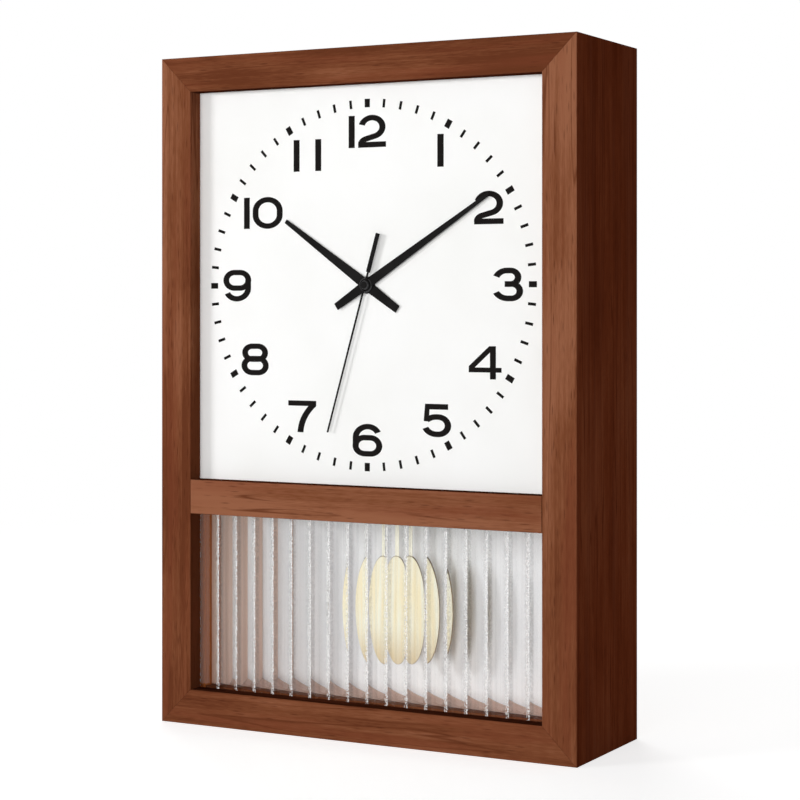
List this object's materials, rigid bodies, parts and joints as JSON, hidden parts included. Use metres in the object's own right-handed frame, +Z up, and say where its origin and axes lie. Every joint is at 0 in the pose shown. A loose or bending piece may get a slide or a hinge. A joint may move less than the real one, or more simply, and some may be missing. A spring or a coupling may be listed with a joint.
{
  "type": "pendulum wall clock",
  "caption": "Rectangular wooden wall clock with a square white dial above a reeded glass window, behind which a round brass pendulum bob swings.",
  "frame": {"origin": "centre of the case's footprint, on the underside of the case", "axes": "+Z up, the dial faces -Y, +X to the right of someone reading the dial"},
  "size_m": [0.24, 0.077, 0.352],
  "materials": {
    "stained_wood": "walnut stain on pine, satin lacquer",
    "raw_wood": "stained bead",
    "back_board": "hardboard",
    "dial_white": "white printed face on fibreboard",
    "reeded_glass": "clear, fluted on the front",
    "hand_black": "matt black paint",
    "wheel_plastic": "moulded",
    "black_plastic": "fine moulded grain",
    "magnet": "sintered",
    "steel": "plain",
    "zinc_steel": "zinc plated",
    "copper_wire": "enamelled copper winding",
    "board_green": "lacquered",
    "cell_wrap": "plain wrap, no print",
    "pale_brass": "pale polished brass"
  },
  "bodies": {
    "case": {"case_left_side": "stained_wood", "case_right_side": "stained_wood", "case_top": "stained_wood", "case_bottom": "stained_wood", "middle_rail": "stained_wood", "dial_plate": "dial_white", "reeded_glass": "reeded_glass", "dial_bead_left": "raw_wood", "dial_bead_right": "raw_wood", "dial_bead_top": "raw_wood", "glass_bead_left": "raw_wood", "glass_bead_right": "raw_wood", "glass_bead_bottom": "raw_wood", "back_panel": "back_board", "back_screw_lower_left": "steel", "back_screw_lower_right": "steel", "back_screw_middle_left": "steel", "back_screw_middle_right": "steel", "back_screw_upper_left": "steel", "back_screw_upper_right": "steel", "hanger_plate": "zinc_steel", "hanger_screw_left": "steel", "hanger_screw_right": "steel", "movement_front_shell": "black_plastic", "movement_rear_cover": "black_plastic", "movement_screw_left": "steel", "movement_screw_right": "steel", "stator_plate": "steel", "coil_core": "steel", "motor_coil": "copper_wire", "circuit_board": "board_green", "quartz_crystal": "steel", "battery": "cell_wrap", "battery_spring": "steel", "negative_contact": "steel", "positive_contact": "steel", "pendulum_coil": "copper_wire", "pivot_pin": "steel"},
    "second": {"second_hand": "hand_black", "second_wheel": "wheel_plastic"},
    "minute": {"minute_hand": "hand_black", "centre_wheel": "wheel_plastic"},
    "hour": {"hour_hand": "hand_black", "hour_wheel": "wheel_plastic"},
    "minute_work": {"minute_wheel": "wheel_plastic"},
    "third": {"third_wheel": "wheel_plastic"},
    "intermediate": {"intermediate_wheel": "wheel_plastic"},
    "rotor": {"rotor_pinion": "wheel_plastic", "rotor_magnet": "magnet"},
    "setting": {"setting_knob": "black_plastic"},
    "pendulum": {"pendulum_lever": "black_plastic", "pendulum_magnet": "magnet", "pendulum_rod": "pale_brass", "bob_front": "pale_brass", "bob_back": "pale_brass"}
  },
  "joints": [
    {"name": "second_spin", "type": "hinge", "parent": "case", "child": "second", "pos_m": [0, 0, 0.2314], "axis": [0, 1, 0], "continuous": true},
    {"name": "minute_spin", "type": "hinge", "parent": "case", "child": "minute", "pos_m": [0, 0, 0.2314], "axis": [0, 1, 0], "continuous": true},
    {"name": "hour_spin", "type": "hinge", "parent": "case", "child": "hour", "pos_m": [0, 0, 0.2314], "axis": [0, 1, 0], "continuous": true},
    {"name": "minute_work_spin", "type": "hinge", "parent": "case", "child": "minute_work", "pos_m": [-0.009, 0, 0.2314], "axis": [0, 1, 0], "continuous": true},
    {"name": "third_spin", "type": "hinge", "parent": "case", "child": "third", "pos_m": [0.01224, 0, 0.2314], "axis": [0, 1, 0], "continuous": true},
    {"name": "intermediate_spin", "type": "hinge", "parent": "case", "child": "intermediate", "pos_m": [-0.0084, 0, 0.2314], "axis": [0, 1, 0], "continuous": true},
    {"name": "rotor_spin", "type": "hinge", "parent": "case", "child": "rotor", "pos_m": [-0.0084, 0, 0.2242], "axis": [0, 1, 0], "continuous": true},
    {"name": "setting_spin", "type": "hinge", "parent": "case", "child": "setting", "pos_m": [-0.01845, 0, 0.2314], "axis": [0, 1, 0], "continuous": true},
    {"name": "pendulum_swing", "type": "hinge", "parent": "case", "child": "pendulum", "pos_m": [0, 0, 0.1954], "axis": [0, 1, 0], "range_deg": [-8, 8]}
  ],
  "couplings": [
    {"joint": "minute_spin", "follows": "second_spin", "ratio": 0.016667},
    {"joint": "hour_spin", "follows": "second_spin", "ratio": 0.0013889},
    {"joint": "minute_work_spin", "follows": "second_spin", "ratio": -0.0055556},
    {"joint": "third_spin", "follows": "second_spin", "ratio": -0.13333},
    {"joint": "intermediate_spin", "follows": "second_spin", "ratio": -6},
    {"joint": "rotor_spin", "follows": "second_spin", "ratio": 30},
    {"joint": "setting_spin", "follows": "second_spin", "ratio": 0.013889}
  ]
}
